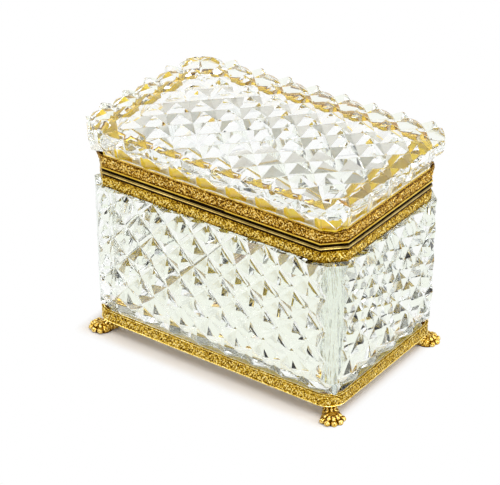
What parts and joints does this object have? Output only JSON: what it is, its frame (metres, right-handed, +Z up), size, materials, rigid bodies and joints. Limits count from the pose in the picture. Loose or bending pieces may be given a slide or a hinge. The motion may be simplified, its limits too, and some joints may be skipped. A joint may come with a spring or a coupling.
{
  "type": "glass casket box",
  "caption": "Thick diamond-cut crystal casket with chased gilt mounts, a hinged crystal lid and a low gallery on splayed paw feet.",
  "frame": {"origin": "on the table under the middle of the casket, at the height of the soles of its paws", "axes": "+Z up, -Y towards the front with the finger notch, +X to the right seen from the front"},
  "size_m": [0.1936, 0.1256, 0.1482],
  "materials": {
    "crystal": "clear lead crystal, cut and polished",
    "chased_gilt": "gilt bronze, cast and chased, matt ground with bright high points",
    "polished_gilt": "gilt bronze, plain and burnished",
    "steel": "drawn steel wire",
    "putty": "ochre setting putty, matt"
  },
  "bodies": {
    "casket": {"glass_body": "crystal", "body_frame": "polished_gilt", "body_frieze": "chased_gilt", "base_gallery": "chased_gilt", "front_left_foot": "chased_gilt", "front_right_foot": "chased_gilt", "rear_left_foot": "chased_gilt", "rear_right_foot": "chased_gilt", "foot_screws": "polished_gilt", "body_hinge_leaf": "polished_gilt", "hinge_pin": "steel", "body_hinge_rivets": "polished_gilt", "body_cement": "putty", "base_cement": "putty"},
    "lid": {"glass_lid": "crystal", "lid_frame": "polished_gilt", "lid_frieze": "chased_gilt", "lid_hinge_leaf": "polished_gilt", "lid_hinge_rivets": "polished_gilt", "lid_cement": "putty"}
  },
  "joints": [
    {"name": "lid_hinge", "type": "hinge", "parent": "casket", "child": "lid", "pos_m": [0, 0.0587, 0.1159], "axis": [-1, 0, 0], "range_deg": [0, 100]}
  ]
}
